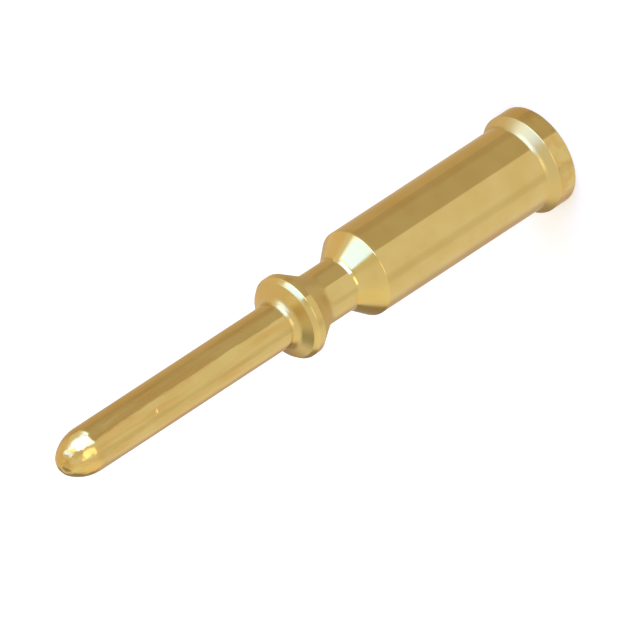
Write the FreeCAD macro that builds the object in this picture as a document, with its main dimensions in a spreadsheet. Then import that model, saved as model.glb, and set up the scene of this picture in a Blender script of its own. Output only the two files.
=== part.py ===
import FreeCAD, Part
import math
import os
import Sketcher
from FreeCAD import Vector

# A crimp pin contact, turned in one piece from brass bar and gold plated. A round pin
# with a bullet nose ends in a collar. Below it a neck, where a spring clip holds the
# contact, widens through a cone into the barrel, which is bored from the rear for the
# wire and closes on it when crimped. A flange stops the contact in its cavity.
#
# The contact stands on its rear face, with its axis along Z and its nose up. Heights
# are measured from the rear face, which is the lowest.

# All sizes are in millimetres, apart from the two angles, which are in degrees.
SIZES = {
    # The flange: how far it stands out from the barrel, its plain land above the rear
    # face, and a cone that flares into it.
    "flange_height": 0.23,
    "flange_land_length": 0.70,
    "flange_cone_length": 0.32,
    "flange_flare_radius": 0.30,
    # The crimp barrel, and the cone of the shoulder that ends it.
    "barrel_diameter": 3.03,
    "barrel_length": 7.34,
    "shoulder_length": 0.77,
    # The neck, the hollow curve at its foot, and how far above that the pin starts.
    "neck_diameter": 1.85,
    "neck_foot_radius": 0.29,
    "shoulder_to_pin_root": 2.75,
    # The collar: a curve out of the neck, a slope, a narrow land, a chamfer that ends in
    # the rim of the face, and the face, a shallow cone that rises to the pin's root.
    "collar_back_radius": 0.73,
    "collar_back_length": 1.05,
    "collar_diameter": 2.92,
    "collar_land_length": 0.25,
    "collar_chamfer_length": 0.16,
    "collar_rim_diameter": 2.68,
    "collar_face_rise": 0.23,
    # The pin, from its root to its tip, the hollow curve there and the nose's two arcs.
    "pin_diameter": 1.60,
    "pin_length": 9.96,
    "pin_root_radius": 0.30,
    "nose_length": 1.22,
    "nose_tip_radius": 0.58,
    # How far tumbling rounds the outer edges.
    "edge_radius": 0.05,
    # The wire's bore, drilled from the rear, and the cone at its mouth.
    "wire_bore_diameter": 2.10,
    "wire_bore_depth": 7.20,
    "drill_point_angle": 118.0,
    "mouth_diameter": 2.60,
    "mouth_angle": 90.0,
    # The hole through one wall that shows the wire's end, and how far its middle
    # stands short of the full bore's end.
    "inspection_hole_diameter": 0.90,
    "inspection_hole_setback": 1.00,
}

# Both ends of a line or an arc, and an arc's centre, as the sketch solver numbers them.
START = 1
END = 2
CENTRE = 3
# A sketch's own vertical axis, which is the contact's axis, and its horizontal one, which
# lies level with the rear face and starts at the sketch's origin.
UPRIGHT = -2
ACROSS = -1
# How near an edge lies to where it is looked for.
CLOSE = 1e-5


def make_sizes(document):
    """The sheet of driving dimensions: a name beside each value, which is its alias."""
    sheet = document.addObject("Spreadsheet::Sheet", "Sizes")
    for row, (name, value) in enumerate(SIZES.items(), start=1):
        sheet.set(f"A{row}", name)
        sheet.set(f"B{row}", str(value))
        sheet.setAlias(f"B{row}", name)
    document.recompute()
    return sheet


def make_heights(document):
    """Heights above the rear face, worked out from the sheet."""
    heights = document.addObject("App::VarSet", "Heights")
    formulas = {
        "barrel_foot": "Sizes.flange_land_length + Sizes.flange_cone_length",
        "barrel_top": "barrel_foot + Sizes.barrel_length",
        "shoulder_top": "barrel_top + Sizes.shoulder_length",
        "pin_root": "shoulder_top + Sizes.shoulder_to_pin_root",
        "collar_rim": "pin_root - Sizes.collar_face_rise",
        "land_top": "collar_rim - Sizes.collar_chamfer_length",
        "land_foot": "land_top - Sizes.collar_land_length",
        "neck_top": "land_foot - Sizes.collar_back_length",
        "tip": "pin_root + Sizes.pin_length",
        "nose_foot": "tip - Sizes.nose_length",
        "hole_middle": "Sizes.wire_bore_depth - Sizes.inspection_hole_setback",
    }
    for name, formula in formulas.items():
        heights.addProperty("App::PropertyFloat", name)
        heights.setExpression(name, formula)
    document.recompute()
    return heights


def new_sketch(body, name):
    """A sketch on the body's upright plane, where X is the radius and Z the height."""
    sketch = body.newObject("Sketcher::SketchObject", name)
    plane = next(p for p in body.Origin.OriginFeatures if p.Role == "XZ_Plane")
    sketch.AttachmentSupport = [(plane, "")]
    sketch.MapMode = "FlatFace"
    return sketch


def add_line(sketch, first, last):
    """A straight segment, with the numbers of its first and last ends."""
    index = sketch.addGeometry(Part.LineSegment(first, last), False)
    return index, START, END


def add_arc(sketch, centre, first, last):
    """An arc under half a turn. The solver wants it anticlockwise, so its ends may swap."""
    bearings = [math.atan2(point.y - centre.y, point.x - centre.x) for point in (first, last)]
    anticlockwise = (bearings[1] - bearings[0]) % (2 * math.pi) < math.pi
    if not anticlockwise:
        bearings.reverse()
    circle = Part.Circle(centre, Vector(0, 0, 1), (first - centre).Length)
    index = sketch.addGeometry(Part.ArcOfCircle(circle, *bearings), False)
    ends = (START, END) if anticlockwise else (END, START)
    return index, *ends


def close_outline(sketch, outline, smooth=()):
    """Joins each segment's last end to the next one's first, smoothly where that is asked."""
    for before, after in zip(outline, outline[1:] + outline[:1]):
        kind = "Tangent" if (before, after) in smooth else "Coincident"
        sketch.addConstraint(Sketcher.Constraint(kind, before[0], before[2], after[0], after[1]))


def align(sketch, kind, segments):
    """Keeps segments horizontal or vertical."""
    for segment in segments:
        sketch.addConstraint(Sketcher.Constraint(kind, segment[0]))


def bind(sketch, name, formula, *geometry):
    """Adds a named dimension that follows a formula of the sheet's values."""
    index = sketch.addConstraint(Sketcher.Constraint(*geometry))
    sketch.renameConstraint(index, name)
    sketch.setExpression(f"Constraints.{name}", formula)


def bind_radius(sketch, size, segment, point):
    """Half of a diameter, from the axis out to a segment's last end."""
    index, _, last = segment
    name = size.replace("diameter", "half")
    bind(sketch, name, f"Sizes.{size} / 2", "DistanceX", ACROSS, START, index, last, point.x)


def bind_height(sketch, name, formula, segment, point):
    """How high a segment's last end stands above the rear face."""
    index, _, last = segment
    bind(sketch, name, formula, "DistanceY", ACROSS, START, index, last, point.y)


def outer_profile(body, sizes, heights):
    """Half of the contact's outline, from the rear face up the outside to the tip."""
    sketch = new_sketch(body, "OuterProfile")
    neck_radius = sizes.neck_diameter / 2
    pin_radius = sizes.pin_diameter / 2

    rear_middle = Vector(0, 0)
    rear_edge = Vector(sizes.barrel_diameter / 2 + sizes.flange_height, 0)
    flange_edge = Vector(rear_edge.x, sizes.flange_land_length)
    barrel_foot = Vector(sizes.barrel_diameter / 2, heights.barrel_foot)
    barrel_top = Vector(barrel_foot.x, heights.barrel_top)
    neck_foot = Vector(neck_radius, heights.shoulder_top)
    neck_top = Vector(neck_radius, heights.neck_top)
    land_foot = Vector(sizes.collar_diameter / 2, heights.land_foot)
    land_top = Vector(land_foot.x, heights.land_top)
    collar_rim = Vector(sizes.collar_rim_diameter / 2, heights.collar_rim)
    pin_root = Vector(pin_radius, heights.pin_root)
    nose_foot = Vector(pin_radius, heights.nose_foot)
    tip = Vector(0, heights.tip)

    # The collar's back leaves the neck on an arc, which turns into a straight slope where
    # a line from the land's foot touches it.
    back_centre = neck_top + Vector(sizes.collar_back_radius, 0)
    reach = land_foot - back_centre
    bearing = math.atan2(reach.y, reach.x) + math.acos(sizes.collar_back_radius / reach.Length)
    back_blend = back_centre + Vector(math.cos(bearing), math.sin(bearing)) * sizes.collar_back_radius

    # The nose's tip is an arc about a point on the axis. A flatter arc touches it from
    # outside and runs out level with the pin, and so has its centre past the axis.
    flank_rise = sizes.nose_length - sizes.nose_tip_radius
    flank_radius = (flank_rise**2 + pin_radius**2 - sizes.nose_tip_radius**2) / (
        2 * (pin_radius - sizes.nose_tip_radius)
    )
    tip_centre = tip - Vector(0, sizes.nose_tip_radius)
    flank_centre = nose_foot - Vector(flank_radius, 0)
    outward = (tip_centre - flank_centre).normalize()
    nose_blend = flank_centre + outward * flank_radius

    rear_face = add_line(sketch, rear_middle, rear_edge)
    flange_land = add_line(sketch, rear_edge, flange_edge)
    flange_cone = add_line(sketch, flange_edge, barrel_foot)
    barrel = add_line(sketch, barrel_foot, barrel_top)
    shoulder = add_line(sketch, barrel_top, neck_foot)
    neck = add_line(sketch, neck_foot, neck_top)
    back_curve = add_arc(sketch, back_centre, neck_top, back_blend)
    back_slope = add_line(sketch, back_blend, land_foot)
    collar_land = add_line(sketch, land_foot, land_top)
    collar_chamfer = add_line(sketch, land_top, collar_rim)
    collar_face = add_line(sketch, collar_rim, pin_root)
    pin = add_line(sketch, pin_root, nose_foot)
    nose_flank = add_arc(sketch, flank_centre, nose_foot, nose_blend)
    nose_tip = add_arc(sketch, tip_centre, nose_blend, tip)
    axis = add_line(sketch, tip, rear_middle)

    outline = [
        rear_face, flange_land, flange_cone, barrel, shoulder, neck, back_curve, back_slope,
        collar_land, collar_chamfer, collar_face, pin, nose_flank, nose_tip, axis,
    ]
    smooth = [(neck, back_curve), (back_curve, back_slope), (pin, nose_flank), (nose_flank, nose_tip)]
    close_outline(sketch, outline, smooth)
    align(sketch, "Horizontal", [rear_face])
    align(sketch, "Vertical", [flange_land, barrel, neck, collar_land, pin, axis])
    sketch.addConstraint(Sketcher.Constraint("Coincident", rear_face[0], START, ACROSS, START))
    sketch.addConstraint(Sketcher.Constraint("PointOnObject", nose_tip[0], CENTRE, UPRIGHT))

    bind(
        sketch, "flange_half", "Sizes.barrel_diameter / 2 + Sizes.flange_height",
        "DistanceX", ACROSS, START, rear_face[0], rear_face[2], rear_edge.x,
    )
    bind_radius(sketch, "barrel_diameter", flange_cone, barrel_foot)
    bind_radius(sketch, "neck_diameter", shoulder, neck_foot)
    bind_radius(sketch, "collar_diameter", back_slope, land_foot)
    bind_radius(sketch, "collar_rim_diameter", collar_chamfer, collar_rim)
    bind_radius(sketch, "pin_diameter", collar_face, pin_root)
    bind_height(sketch, "flange_edge", "Sizes.flange_land_length", flange_land, flange_edge)
    bind_height(sketch, "barrel_foot", "Heights.barrel_foot", flange_cone, barrel_foot)
    bind_height(sketch, "barrel_top", "Heights.barrel_top", barrel, barrel_top)
    bind_height(sketch, "shoulder_top", "Heights.shoulder_top", shoulder, neck_foot)
    bind_height(sketch, "neck_top", "Heights.neck_top", neck, neck_top)
    bind_height(sketch, "land_foot", "Heights.land_foot", back_slope, land_foot)
    bind_height(sketch, "land_top", "Heights.land_top", collar_land, land_top)
    bind_height(sketch, "collar_rim", "Heights.collar_rim", collar_chamfer, collar_rim)
    bind_height(sketch, "pin_root", "Heights.pin_root", collar_face, pin_root)
    bind_height(sketch, "nose_foot", "Heights.nose_foot", pin, nose_foot)
    bind_height(sketch, "tip", "Heights.tip", nose_tip, tip)
    bind(
        sketch, "back_radius", "Sizes.collar_back_radius",
        "Radius", back_curve[0], sizes.collar_back_radius,
    )
    bind(
        sketch, "nose_tip_radius", "Sizes.nose_tip_radius",
        "Radius", nose_tip[0], sizes.nose_tip_radius,
    )
    return sketch


def turn_blank(body, sizes, heights):
    """The solid that the outline sweeps in one full turn about the contact's axis."""
    sketch = outer_profile(body, sizes, heights)
    blank = body.newObject("PartDesign::Revolution", "Blank")
    blank.Profile = sketch
    blank.ReferenceAxis = (sketch, ["V_Axis"])
    blank.Angle = 360.0
    body.Document.recompute()
    return blank


def ring_edges(feature, rings):
    """Names of the round edges that lie at the given heights with the given diameters."""
    found = []
    for height, diameter in rings:
        for number, edge in enumerate(feature.Shape.Edges, start=1):
            # The nose's tip counts as an edge with no length and no curve.
            if edge.Degenerated or not isinstance(edge.Curve, Part.Circle):
                continue
            level = math.isclose(edge.Curve.Center.z, height, abs_tol=CLOSE)
            if level and math.isclose(edge.Curve.Radius, diameter / 2, abs_tol=CLOSE):
                found.append(f"Edge{number}")
    return found


def round_edges(body, base, name, size, *rings):
    """A fillet of one radius along one or more rings of the turned surface."""
    edges = ring_edges(base, rings)
    if len(edges) != len(rings):
        raise RuntimeError(f"{name}: {len(edges)} of {len(rings)} rings were found")
    fillet = body.newObject("PartDesign::Fillet", name)
    fillet.Base = (base, edges)
    fillet.setExpression("Radius", f"Sizes.{size}")
    body.Document.recompute()
    return fillet


def finish_blank(body, blank, sizes, heights):
    """Rounds the inner corners as the turning tool does, and then the outer edges."""
    flange_diameter = sizes.barrel_diameter + 2 * sizes.flange_height
    flange_foot = (heights.barrel_foot, sizes.barrel_diameter)
    neck_foot = (heights.shoulder_top, sizes.neck_diameter)
    pin_root = (heights.pin_root, sizes.pin_diameter)
    outer = [
        (0.0, flange_diameter),
        (sizes.flange_land_length, flange_diameter),
        (heights.barrel_top, sizes.barrel_diameter),
        (heights.land_foot, sizes.collar_diameter),
        (heights.land_top, sizes.collar_diameter),
        (heights.collar_rim, sizes.collar_rim_diameter),
    ]
    flared = round_edges(body, blank, "FlangeFlare", "flange_flare_radius", flange_foot)
    hollowed = round_edges(body, flared, "NeckFoot", "neck_foot_radius", neck_foot)
    rooted = round_edges(body, hollowed, "PinRoot", "pin_root_radius", pin_root)
    return round_edges(body, rooted, "RoundedEdges", "edge_radius", *outer)


def drill_bore(body, sizes):
    """The blind bore that takes the wire, with its drill point and its mouth's cone."""
    sketch = new_sketch(body, "BoreProfile")
    bore_radius = sizes.wire_bore_diameter / 2
    mouth_radius = sizes.mouth_diameter / 2
    mouth_depth = (mouth_radius - bore_radius) / math.tan(math.radians(sizes.mouth_angle / 2))
    point_height = bore_radius / math.tan(math.radians(sizes.drill_point_angle / 2))

    mouth_middle = Vector(0, 0)
    mouth_edge = Vector(mouth_radius, 0)
    wall_foot = Vector(bore_radius, mouth_depth)
    wall_top = Vector(bore_radius, sizes.wire_bore_depth)
    point_tip = Vector(0, sizes.wire_bore_depth + point_height)

    mouth = add_line(sketch, mouth_middle, mouth_edge)
    cone = add_line(sketch, mouth_edge, wall_foot)
    wall = add_line(sketch, wall_foot, wall_top)
    point = add_line(sketch, wall_top, point_tip)
    axis = add_line(sketch, point_tip, mouth_middle)
    close_outline(sketch, [mouth, cone, wall, point, axis])
    align(sketch, "Horizontal", [mouth])
    align(sketch, "Vertical", [wall, axis])
    sketch.addConstraint(Sketcher.Constraint("Coincident", mouth[0], START, ACROSS, START))

    bind_radius(sketch, "mouth_diameter", mouth, mouth_edge)
    bind_radius(sketch, "wire_bore_diameter", cone, wall_foot)
    bind_height(
        sketch, "mouth_depth",
        "(Sizes.mouth_diameter - Sizes.wire_bore_diameter) / 2 / tan(Sizes.mouth_angle * 1 deg / 2)",
        cone, wall_foot,
    )
    bind_height(sketch, "bore_depth", "Sizes.wire_bore_depth", wall, wall_top)
    bind_height(
        sketch, "point_tip",
        "Sizes.wire_bore_depth"
        " + Sizes.wire_bore_diameter / 2 / tan(Sizes.drill_point_angle * 1 deg / 2)",
        point, point_tip,
    )
    bore = body.newObject("PartDesign::Groove", "WireBore")
    bore.Profile = sketch
    bore.ReferenceAxis = (sketch, ["V_Axis"])
    bore.Angle = 360.0
    body.Document.recompute()
    return bore


def drill_inspection_hole(body, sizes, heights):
    """A small cross hole from the bore out through the barrel's wall on the +Y side."""
    sketch = new_sketch(body, "InspectionCircle")
    middle = Vector(0, heights.hole_middle)
    circle = Part.Circle(middle, Vector(0, 0, 1), sizes.inspection_hole_diameter / 2)
    index = sketch.addGeometry(circle, False)
    sketch.addConstraint(Sketcher.Constraint("PointOnObject", index, CENTRE, UPRIGHT))
    bind(
        sketch, "hole_middle", "Heights.hole_middle",
        "DistanceY", ACROSS, START, index, CENTRE, middle.y,
    )
    bind(
        sketch, "hole_diameter", "Sizes.inspection_hole_diameter",
        "Diameter", index, sizes.inspection_hole_diameter,
    )
    hole = body.newObject("PartDesign::Pocket", "InspectionHole")
    hole.Profile = sketch
    hole.Type = "Length"
    hole.Reversed = False
    hole.setExpression("Length", "Sizes.barrel_diameter")
    body.Document.recompute()
    return hole


def make_contact(document, sizes, heights):
    """The whole contact as one body, standing on its rear face at the origin."""
    body = document.addObject("PartDesign::Body", "Contact")
    body.Label = "turned_contact"
    body.Placement = FreeCAD.Placement()
    blank = turn_blank(body, sizes, heights)
    finished = finish_blank(body, blank, sizes, heights)
    bore = drill_bore(body, sizes)
    hole = drill_inspection_hole(body, sizes, heights)
    volumes = [step.Shape.Volume for step in (finished, bore, hole)]
    if not volumes[0] > volumes[1] > volumes[2]:
        raise RuntimeError(f"a cut removed nothing: {volumes}")
    return body


def check_document(document, parts):
    """Stops if any object failed to build or any sub-part is empty or broken."""
    document.recompute()
    for item in document.Objects:
        if "Invalid" in item.State or "Error" in item.State:
            raise RuntimeError(f"{item.Label} failed: {item.State}")
    for part in parts:
        if part.Shape.isNull() or not part.Shape.isValid() or len(part.Shape.Solids) != 1:
            raise RuntimeError(f"{part.Label} isn't one sound solid")


def export_parts(parts):
    """Writes each sub-part to a file named after its label."""
    os.makedirs("parts", exist_ok=True)
    for part in parts:
        part.Shape.exportStep(os.path.join("parts", f"{part.Label}.step"))


document = FreeCAD.newDocument("crimp_pin_contact")
sizes = make_sizes(document)
heights = make_heights(document)
contact = make_contact(document, sizes, heights)
check_document(document, [contact])
export_parts([contact])
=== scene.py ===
import math

import bpy
from mathutils import Matrix, Vector


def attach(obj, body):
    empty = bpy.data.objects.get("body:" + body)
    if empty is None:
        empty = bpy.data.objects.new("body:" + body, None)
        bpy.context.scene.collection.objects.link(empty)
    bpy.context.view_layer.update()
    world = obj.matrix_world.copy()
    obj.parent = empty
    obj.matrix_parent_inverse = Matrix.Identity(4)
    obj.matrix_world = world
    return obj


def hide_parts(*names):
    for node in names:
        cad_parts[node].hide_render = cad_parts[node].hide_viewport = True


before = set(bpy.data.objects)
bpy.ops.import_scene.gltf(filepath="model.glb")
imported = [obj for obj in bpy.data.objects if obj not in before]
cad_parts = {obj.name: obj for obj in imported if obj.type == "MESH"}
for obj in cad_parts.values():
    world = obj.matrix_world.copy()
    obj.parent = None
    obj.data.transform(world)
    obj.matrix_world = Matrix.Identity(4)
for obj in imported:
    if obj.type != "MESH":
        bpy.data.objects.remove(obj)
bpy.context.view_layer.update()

# The sizes below are in millimetres, and this takes them to metres.
MM = 0.001


# The contact's metal. A brass bar is turned to one half outline, which runs here from the
# drilled bore's point down to the rear face and up the outside to the nose. The tool leaves
# small radii in the corners, and tumbling before the plating rounds the edges.
FLANGE_RADIUS, BARREL_RADIUS, NECK_RADIUS = 1.745, 1.515, 0.925
COLLAR_RADIUS, COLLAR_RIM_RADIUS, PIN_RADIUS = 1.46, 1.34, 0.80
BORE_RADIUS, MOUTH_RADIUS = 1.05, 1.30
FLANGE_EDGE, BARREL_FOOT, BARREL_TOP, SHOULDER_TOP = 0.70, 1.02, 8.36, 9.13
NECK_TOP, LAND_FOOT, LAND_TOP, COLLAR_RIM, PIN_ROOT = 10.19, 11.24, 11.49, 11.65, 11.88
NOSE_FOOT, TIP = 20.62, 21.84
MOUTH_TOP, BORE_END, DRILL_POINT = 0.25, 7.20, 7.831
COLLAR_BACK_CURVE, NOSE_TIP_CURVE = 0.73, 0.58
HOLE_HEIGHT, HOLE_RADIUS = 6.20, 0.45

# The barrel's wall has a line this far above and below the inspection hole's middle.
HOLE_MARGIN = 1.3 * HOLE_RADIUS
# Points this far from a line's ends, or at this share of a short line, keep a rounded
# corner's shading off the rest of it.
GUARD, GUARD_SHARE = 0.21, 0.35
# Two points nearer than this count as one.
CLOSE = 1e-4
# Steps in a fillet, in the arcs of the collar's back and the nose, and once round the axis.
FILLET_STEPS, BACK_STEPS, NOSE_STEPS, ROUND_STEPS = 8, 12, 16, 256

pen = Vector((0.0, DRILL_POINT))


def move_pen(radius, height):
    """Draws one straight step of the half outline, by extruding its last point."""
    step = Vector((radius, height)) - pen
    shift = {"value": (step.x * MM, 0, step.y * MM)}
    bpy.ops.mesh.extrude_region_move(TRANSFORM_OT_translate=shift)
    pen.xy = radius, height


def draw_line(radius, height):
    """Draws a line to a radius and a height, with a guard point near each end."""
    start, end = pen.copy(), Vector((radius, height))
    guard = min(GUARD / (end - start).length, GUARD_SHARE)
    for share in (guard, 1 - guard, 1):
        move_pen(*start.lerp(end, share))


def draw_arc(centre, turn, steps):
    """Draws an arc about a centre, anticlockwise for a turn above zero."""
    bpy.ops.mesh.spin(
        steps=steps, angle=turn, center=(centre.x * MM, 0, centre.y * MM), axis=(0, 1, 0)
    )
    arm = pen - centre
    arm.rotate(Matrix.Rotation(turn, 2))
    pen.xy = centre + arm


def round_corner(piece, radius, height, fillet):
    """Rounds the outline's corner at a place to a fillet's radius."""
    corner = Vector((radius, 0, height)) * MM
    for vertex in piece.data.vertices:
        vertex.select = (vertex.co - corner).length < CLOSE * MM
    chosen = next(vertex.index for vertex in piece.data.vertices if vertex.select)
    arms = []
    for edge in piece.data.edges:
        edge.select = False
        if chosen in edge.vertices:
            other = sum(edge.vertices) - chosen
            arms.append(piece.data.vertices[other].co - corner)
    turn = math.pi - arms[0].angle(arms[1])
    bpy.ops.object.mode_set(mode="EDIT")
    bpy.ops.mesh.bevel(
        affect="VERTICES", offset_type="OFFSET", segments=FILLET_STEPS, profile=0.5,
        offset=fillet * MM * math.tan(turn / 2),
    )
    bpy.ops.object.mode_set(mode="OBJECT")


bpy.ops.object.select_all(action="DESELECT")
bpy.ops.mesh.primitive_circle_add(vertices=3, radius=MM, location=(0, 0, 0))
contact = bpy.context.object
contact.name = "contact_metal"
bpy.ops.object.mode_set(mode="EDIT")
bpy.ops.mesh.merge(type="CENTER")
bpy.ops.transform.translate(value=(0, 0, DRILL_POINT * MM))

# The bore and its mouth, the rear face, the flange, the barrel, its shoulder and the neck.
# The barrel's wall has the lines above and below the inspection hole inside and out.
draw_line(BORE_RADIUS, BORE_END)
draw_line(BORE_RADIUS, HOLE_HEIGHT + HOLE_MARGIN)
draw_line(BORE_RADIUS, HOLE_HEIGHT - HOLE_MARGIN)
draw_line(BORE_RADIUS, MOUTH_TOP)
draw_line(MOUTH_RADIUS, 0)
draw_line(FLANGE_RADIUS, 0)
draw_line(FLANGE_RADIUS, FLANGE_EDGE)
draw_line(BARREL_RADIUS, BARREL_FOOT)
draw_line(BARREL_RADIUS, HOLE_HEIGHT - HOLE_MARGIN)
draw_line(BARREL_RADIUS, HOLE_HEIGHT + HOLE_MARGIN)
draw_line(BARREL_RADIUS, BARREL_TOP)
draw_line(NECK_RADIUS, SHOULDER_TOP)
draw_line(NECK_RADIUS, NECK_TOP)

# The collar's back leaves the neck on an arc, up to where a line from the land touches it.
back_centre = pen + Vector((COLLAR_BACK_CURVE, 0))
reach = Vector((COLLAR_RADIUS, LAND_FOOT)) - back_centre
touch = math.atan2(reach.y, reach.x) + math.acos(COLLAR_BACK_CURVE / reach.length)
draw_arc(back_centre, touch - math.pi, BACK_STEPS)
draw_line(COLLAR_RADIUS, LAND_FOOT)
draw_line(COLLAR_RADIUS, LAND_TOP)
draw_line(COLLAR_RIM_RADIUS, COLLAR_RIM)
draw_line(PIN_RADIUS, PIN_ROOT)
draw_line(PIN_RADIUS, NOSE_FOOT)

# The nose's flank is a wide arc that starts level with the pin, and its tip a tighter one.
flank_rise = TIP - NOSE_FOOT - NOSE_TIP_CURVE
flank_curve = (flank_rise**2 + PIN_RADIUS**2 - NOSE_TIP_CURVE**2) / (
    2 * (PIN_RADIUS - NOSE_TIP_CURVE)
)
flank_turn = math.atan2(flank_rise, flank_curve - PIN_RADIUS)
draw_arc(Vector((PIN_RADIUS - flank_curve, NOSE_FOOT)), flank_turn, NOSE_STEPS)
draw_arc(Vector((0, TIP - NOSE_TIP_CURVE)), math.pi / 2 - flank_turn, NOSE_STEPS)
bpy.ops.object.mode_set(mode="OBJECT")

for radius, height, fillet in [
    (MOUTH_RADIUS, 0, 0.03),
    (FLANGE_RADIUS, 0, 0.05),
    (FLANGE_RADIUS, FLANGE_EDGE, 0.05),
    (BARREL_RADIUS, BARREL_FOOT, 0.30),
    (BARREL_RADIUS, BARREL_TOP, 0.05),
    (NECK_RADIUS, SHOULDER_TOP, 0.29),
    (COLLAR_RADIUS, LAND_FOOT, 0.05),
    (COLLAR_RADIUS, LAND_TOP, 0.05),
    (COLLAR_RIM_RADIUS, COLLAR_RIM, 0.05),
    (PIN_RADIUS, PIN_ROOT, 0.30),
]:
    round_corner(contact, radius, height, fillet)

bpy.ops.object.mode_set(mode="EDIT")
bpy.ops.mesh.select_all(action="SELECT")
bpy.ops.mesh.spin(steps=ROUND_STEPS, angle=2 * math.pi, center=(0, 0, 0), axis=(0, 0, 1))
bpy.ops.mesh.select_all(action="SELECT")
bpy.ops.mesh.remove_doubles(threshold=CLOSE * MM)
bpy.ops.mesh.normals_make_consistent(inside=False)
bpy.ops.object.mode_set(mode="OBJECT")


# The inspection hole. It is drilled across into the bore's end through one wall, so that the
# wire can be seen to be home, and its outer rim is broken by the tumbling.
HOLE_SIDES, RIM_BREAK, RIM_STEPS = 64, 0.03, 3
# The drill's length and its middle, which put its two ends in the bore and past the barrel.
DRILL_LENGTH, DRILL_MIDDLE = 2.0, 1.3
# A point this near to the hole's wall, and this near to the barrel's surface, is on its rim.
NEAR_HOLE, NEAR_BARREL = 0.002, 0.01
# Faces that meet at more than this angle keep a sharp edge between them.
SHARP_ANGLE = math.radians(35)

bpy.ops.object.select_all(action="DESELECT")
bpy.ops.mesh.primitive_cylinder_add(
    vertices=HOLE_SIDES, radius=HOLE_RADIUS * MM, depth=DRILL_LENGTH * MM,
    rotation=(math.pi / 2, 0, 0), location=(0, DRILL_MIDDLE * MM, HOLE_HEIGHT * MM),
)
drill = bpy.context.object
bpy.ops.object.select_all(action="DESELECT")
contact.select_set(True)
bpy.context.view_layer.objects.active = contact
cut = contact.modifiers.new("inspection_hole", "BOOLEAN")
cut.operation = "DIFFERENCE"
cut.solver = "EXACT"
cut.object = drill
bpy.ops.object.modifier_apply(modifier=cut.name)
bpy.data.objects.remove(drill)

for face in contact.data.polygons:
    face.select = False
for vertex in contact.data.vertices:
    spot = vertex.co / MM
    from_hole = math.hypot(spot.x, spot.z - HOLE_HEIGHT)
    from_axis = math.hypot(spot.x, spot.y)
    vertex.select = (
        spot.y > 0
        and abs(from_hole - HOLE_RADIUS) < NEAR_HOLE
        and from_axis > BARREL_RADIUS - NEAR_BARREL
    )
for edge in contact.data.edges:
    edge.select = all(contact.data.vertices[index].select for index in edge.vertices)
bpy.ops.object.mode_set(mode="EDIT")
bpy.ops.mesh.bevel(offset=RIM_BREAK * MM, segments=RIM_STEPS, profile=0.5)
bpy.ops.object.mode_set(mode="OBJECT")
bpy.ops.object.shade_smooth_by_angle(angle=SHARP_ANGLE)


# The gold plating, a few micrometres over the turned brass. It is bright, with the turning
# tool's faint rings under it. A trial mating has scuffed and streaked the pin and worn its nose
# uneven, handling has rubbed the flange, and the tool left the flare and the collar duller.
# The collar's back, in the hollow where it slopes down to the neck, is darkened a little with
# the rubbed colour as painted shade.
class Shade:
    """One output of a shader's node. Arithmetic on it adds Math nodes to its tree."""

    def __init__(self, tree, socket=None):
        self.tree = tree
        self.socket = socket

    def node(self, kind, settings=None, sockets=None):
        """Adds a node of a type. Its settings go in first, then its sockets' values or links."""
        node = self.tree.nodes.new(kind)
        for name, setting in (settings or {}).items():
            setattr(node, name, setting)
        for name, value in (sockets or {}).items():
            if isinstance(value, Shade):
                self.tree.links.new(value.socket, node.inputs[name])
            else:
                node.inputs[name].default_value = value
        return node

    def take(self, node, output=0):
        """One output of a node, ready for arithmetic."""
        return Shade(self.tree, node.outputs[output])

    def math(self, operation, *values):
        """A Math node's result, for values that are numbers or outputs."""
        settings = {"operation": operation}
        return self.take(self.node("ShaderNodeMath", settings, dict(enumerate(values))))

    def __add__(self, other):
        return self.math("ADD", self, other)

    __radd__ = __add__

    def __sub__(self, other):
        return self.math("SUBTRACT", self, other)

    def __rsub__(self, other):
        return self.math("SUBTRACT", other, self)

    def __mul__(self, other):
        return self.math("MULTIPLY", self, other)

    __rmul__ = __mul__

    def rise(self, low, high):
        """Goes smoothly from 0 at a low value to 1 at a high one."""
        return self.take(
            self.node(
                "ShaderNodeMapRange",
                {"interpolation_type": "SMOOTHSTEP"},
                {"Value": self, "From Min": low, "From Max": high},
            )
        )

    def band(self, start, full, fade, end):
        """Rises from 0 to 1 between a start and full, and falls back from a fade to an end."""
        return self.rise(start, full) * (1 - self.rise(fade, end))

    def mix(self, first, second):
        """A colour between two, by this value."""
        node = self.node(
            "ShaderNodeMix", {"data_type": "RGBA"}, {"Factor": self, "A": first, "B": second}
        )
        return self.take(node, "Result")


GOLD = (0.66, 0.49, 0.178, 1)
DEEP_GOLD = (0.63, 0.452, 0.15, 1)
# The rubbed colour, which is also used for a little painted shade on the collar's back.
RUBBED_AND_SHADE_GOLD = (0.62, 0.385, 0.115, 1)
DULL_GOLD = (0.61, 0.455, 0.175, 1)
DENT, DENT_RADIUS = (-0.188, -0.7776, 18.2), 0.13
# How deep the relief is in the metal, in millimetres, for a height of 1.
RELIEF_DEPTH = 0.0015

plating = bpy.data.materials.new("gold_plating")
plating.use_nodes = True
plating.node_tree.nodes.clear()
gold = Shade(plating.node_tree)
place = gold.take(gold.node("ShaderNodeTexCoord"), "Object")
in_mm = gold.take(
    gold.node("ShaderNodeVectorMath", {"operation": "SCALE"}, {"Vector": place, "Scale": 1000.0})
)
height = gold.take(gold.node("ShaderNodeSeparateXYZ", None, {"Vector": in_mm}), "Z")


def noise(scale, detail, stretch=(1, 1, 1)):
    """Cloudy noise, in cycles to the millimetre, which may be stretched along an axis."""
    vector = gold.take(gold.node("ShaderNodeMapping", None, {"Vector": in_mm, "Scale": stretch}))
    return gold.take(
        gold.node("ShaderNodeTexNoise", None, {"Vector": vector, "Scale": scale, "Detail": detail})
    )


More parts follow.
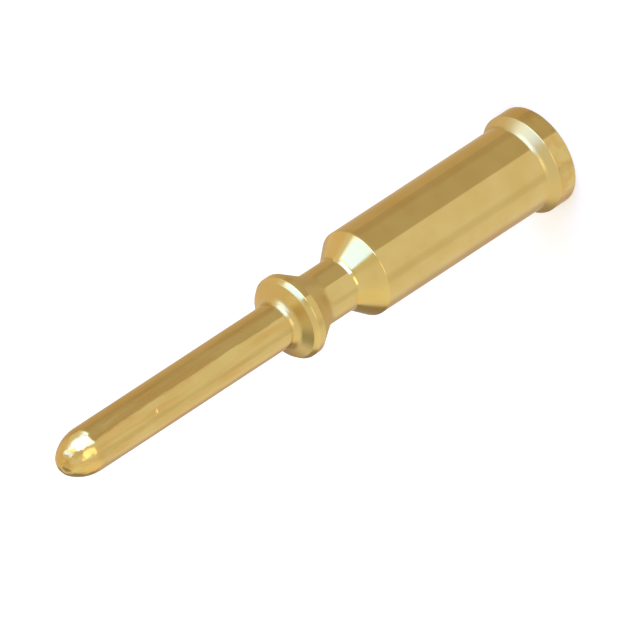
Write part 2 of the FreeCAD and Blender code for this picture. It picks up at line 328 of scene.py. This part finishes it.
# Each form of the contact by its height, with soft ends.
on_flange = 1 - height.rise(FLANGE_EDGE - 0.04, FLANGE_EDGE)
on_flare = height.band(FLANGE_EDGE - 0.02, FLANGE_EDGE + 0.02, BARREL_FOOT, BARREL_FOOT + 0.15)
on_shoulder = height.band(BARREL_TOP - 0.05, BARREL_TOP + 0.1, SHOULDER_TOP - 0.2, SHOULDER_TOP)
on_back = height.band(NECK_TOP - 0.05, NECK_TOP + 0.35, LAND_FOOT - 0.1, LAND_FOOT + 0.05)
on_face = height.band(LAND_TOP, COLLAR_RIM, PIN_ROOT + 0.1, PIN_ROOT + 0.35)
on_pin = height.rise(PIN_ROOT, PIN_ROOT + 0.5)
on_nose = height.rise(NOSE_FOOT - 0.4, NOSE_FOOT + 0.3)

# The marks in the plating and the brass under it.
clouds = noise(0.9, 3.0)
rings = gold.take(
    gold.node(
        "ShaderNodeTexNoise", {"noise_dimensions": "1D"}, {"W": height, "Scale": 9.0, "Detail": 3.0}
    )
)
scuffs = noise(9.0, 2.0, (1, 1, 0.06)).rise(0.52, 0.70) * noise(0.8, 2.0).rise(0.45, 0.65)
streaks = noise(3.6, 4.0, (1, 1, 0.10))
patches = noise(2.8, 3.0).rise(0.42, 0.62)
wear = noise(2.2, 1.5)
from_dent = gold.take(
    gold.node("ShaderNodeVectorMath", {"operation": "DISTANCE"}, {0: in_mm, 1: DENT}), "Value"
)
dent = 1 - from_dent.rise(0.0, DENT_RADIUS)
# The pin's streaks and the flange's patches are wear. The share on the collar's back is painted
# shade in the hollow above the neck.
rubbed_and_back_shade = streaks.rise(0.42, 0.66) * on_pin + patches * on_flange * 0.8 + on_back * 0.2

# What the marks do to the plating's colour, its roughness and its surface.
fresh_colour = clouds.rise(0.35, 0.7).mix(GOLD, DEEP_GOLD)
worn_and_shaded_colour = (rubbed_and_back_shade * 0.8).mix(fresh_colour, RUBBED_AND_SHADE_GOLD)
metal_colour = (on_flare + on_face * 0.6).mix(worn_and_shaded_colour, DULL_GOLD)
roughness = (
    clouds * 0.06 + on_flare * 0.28 + on_shoulder * 0.06 + on_face * 0.20 + on_back * 0.42
    + on_pin * (scuffs * 0.06 + 0.03) + on_nose * 0.05 + 0.05
)
relief = (
    rings * 0.3 + clouds * 0.6 + scuffs * on_pin * 0.5 + streaks * on_pin * 11.0
    + wear * on_nose * 45.0 - dent * 28.0
)
bump = gold.take(
    gold.node(
        "ShaderNodeBump", None, {"Height": relief, "Strength": 1.0, "Distance": RELIEF_DEPTH * MM}
    )
)
metal = gold.node(
    "ShaderNodeBsdfPrincipled",
    None,
    {"Base Color": metal_colour, "Metallic": 1.0, "Roughness": roughness, "Normal": bump},
)
gold.node("ShaderNodeOutputMaterial", None, {"Surface": gold.take(metal)})
contact.data.materials.clear()
contact.data.materials.append(plating)

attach(contact, "root")
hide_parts("turned_contact")


# The floor, a sheet of white card that the contact stands on. It takes the contact's soft
# shadow, and is kept out of the metal, which shows the card and panels round it instead.
CARD_WHITE = (0.92, 0.93, 0.98, 1)
# The card's own light, which only the camera sees and which lifts it to the photo's white.
CARD_GLOW = 0.25

bpy.ops.object.select_all(action="DESELECT")
bpy.ops.mesh.primitive_grid_add(x_subdivisions=2, y_subdivisions=2, size=1.0)
floor = bpy.context.object
floor.name = "floor"
floor.visible_glossy = False
card = bpy.data.materials.new("white_card")
card.use_nodes = True
card.node_tree.nodes.clear()
white = Shade(card.node_tree)
glow = white.take(white.node("ShaderNodeLightPath"), "Is Camera Ray") * CARD_GLOW
glow_colour = white.take(white.node("ShaderNodeCombineColor", None, {0: glow, 1: glow, 2: glow}))
sheet = white.node(
    "ShaderNodeBsdfPrincipled",
    None,
    {
        "Base Color": CARD_WHITE,
        "Roughness": 1.0,
        "Specular IOR Level": 0.0,
        "Emission Color": glow_colour,
        "Emission Strength": 1.0,
    },
)
white.node("ShaderNodeOutputMaterial", None, {"Surface": white.take(sheet)})
floor.data.materials.append(card)


# The studio's light. White all round, with two cool soft boxes to the camera's right, and grey
# and tan cards that give the metal its darker bands. Bearings are in degrees, from the camera's
# side of the contact towards its left, and elevations above the floor.
studio = bpy.data.worlds.new("studio")
bpy.context.scene.world = studio
studio.use_nodes = True
studio.node_tree.nodes.clear()
light = Shade(studio.node_tree)
direction = light.take(light.node("ShaderNodeTexCoord"), "Generated")
away = light.node("ShaderNodeSeparateXYZ", None, {"Vector": direction})
IN_DEGREES = 180 / math.pi
bearing = light.math("ARCTAN2", light.take(away, "X") * -1, light.take(away, "Y") * -1) * IN_DEGREES
elevation = light.math("ARCSINE", light.take(away, "Z")) * IN_DEGREES


def window(value, low, high, low_soft, high_soft):
    """1 between two limits, each with a soft edge of its own width."""
    return value.band(
        low - low_soft / 2, low + low_soft / 2, high - high_soft / 2, high + high_soft / 2
    )


# Each panel has a colour, a window of bearings and one of elevations, and lies over the ones
# before it.
surround = (0.98, 0.98, 0.98, 1)
for colour, across, upward in [
    # The paper that runs up behind the contact on the right is warmer, and darker lower down.
    ((0.95, 0.81, 0.63), (-190, -100, 1, 10), (-100, 90, 1, 1)),
    ((0.71, 0.575, 0.39), (-190, -102, 1, 6), (-100, -12, 1, 16)),
    ((0.66, 0.54, 0.38), (-190, -140, 1, 30), (-100, -38, 1, 6)),
    # The grey card on the floor, to the camera's right.
    ((0.60, 0.51, 0.41), (-102, -20, 6, 5), (-100, -31, 1, 3)),
    ((0.66, 0.61, 0.53), (-76, -20, 16, 5), (-100, -31, 1, 3)),
    # Darker cards behind the contact on the left.
    ((0.66, 0.52, 0.40), (130, 190, 40, 1), (-100, 20, 1, 10)),
    ((0.40, 0.34, 0.26), (122, 185, 14, 8), (-27, 6, 8, 10)),
    ((0.37, 0.37, 0.30), (114, 165, 12, 12), (38, 62, 10, 10)),
    # The seam between two sheets of white card, and a reflector above it.
    ((0.88, 0.86, 0.82), (48, 68, 12, 12), (-100, -10, 1, 10)),
    ((1.12, 1.10, 0.98), (62, 118, 44, 24), (-20, 34, 10, 20)),
    # A warm card low on the left, which only the nose's underside sees.
    ((1.24, 1.01, 0.74), (84, 122, 26, 16), (-29, -5, 15, 12)),
    # The ceiling, a light in it, and the gap between the two soft boxes.
    ((0.84, 0.72, 0.47), (-190, 190, 1, 1), (66, 100, 36, 1)),
    ((1.30, 1.25, 1.05), (-152, -110, 20, 20), (69, 82, 8, 6)),
    ((0.84, 0.82, 0.60), (-40, 4, 20, 20), (14, 42, 4, 12)),
    # The soft boxes, the lower of which fades to its right, and a plain strip between them.
    ((1.8, 2.7, 6.2), (-70, -10, 24, 6), (-27, 15, 4, 5)),
    ((1.4, 2.25, 5.4), (-84, -21, 8, 6), (25, 44, 5, 5)),
    ((1.9, 2.0, 1.9), (-82, -34, 8, 8), (14, 26, 3, 3)),
    # A small warm lamp that only the nose and the collar catch.
    ((2.3, 2.2, 1.9), (8, 36, 12, 12), (-9, 13, 10, 10)),
]:
    mask = window(bearing, *across) * window(elevation, *upward)
    surround = mask.mix(surround, (*colour, 1))
in_metal = light.take(light.node("ShaderNodeBackground", None, {"Color": surround}))
to_camera = light.take(light.node("ShaderNodeBackground", None, {"Color": (1, 1, 1, 1)}))
is_camera = light.take(light.node("ShaderNodeLightPath"), "Is Camera Ray")
sky = light.node("ShaderNodeMixShader", None, {0: is_camera, 1: in_metal, 2: to_camera})
light.node("ShaderNodeOutputWorld", None, {"Surface": light.take(sky)})


# The camera looks down on the standing contact, turned so that the nose points to the lower
# left of the picture. Its long lens shows the contact's two ends at nearly one scale.
LOOKS_DOWN = math.radians(33.6)
NOSE_POINTS = math.radians(213.248)
PICTURE_WIDTH = 20.48
# The axis at this height lies this far right of the picture's middle, and this far above it.
AXIS_HEIGHT, AXIS_RIGHT, AXIS_UP = 8.588, 0.99418, 1.39165
towards_camera = Vector((0, -math.cos(LOOKS_DOWN), math.sin(LOOKS_DOWN)))
nose_way = Vector((0, math.sin(LOOKS_DOWN), math.cos(LOOKS_DOWN)))
side_way = towards_camera.cross(nose_way)
right = math.cos(NOSE_POINTS) * nose_way - math.sin(NOSE_POINTS) * side_way
up = math.sin(NOSE_POINTS) * nose_way + math.cos(NOSE_POINTS) * side_way
target = Vector((0, 0, AXIS_HEIGHT * MM)) - AXIS_RIGHT * MM * right - AXIS_UP * MM * up

camera_data = bpy.data.cameras.new("camera")
camera_data.lens = 1600
camera_data.sensor_width = 36
distance = PICTURE_WIDTH * MM * camera_data.lens / camera_data.sensor_width
camera_data.clip_start = 0.1 * distance
camera_data.clip_end = 2 * distance
camera = bpy.data.objects.new("camera", camera_data)
bpy.context.collection.objects.link(camera)
facing = Matrix((right, up, towards_camera)).transposed().to_4x4()
camera.matrix_world = Matrix.Translation(target + towards_camera * distance) @ facing
bpy.context.scene.camera = camera

bpy.context.scene.view_settings.view_transform = "Standard"
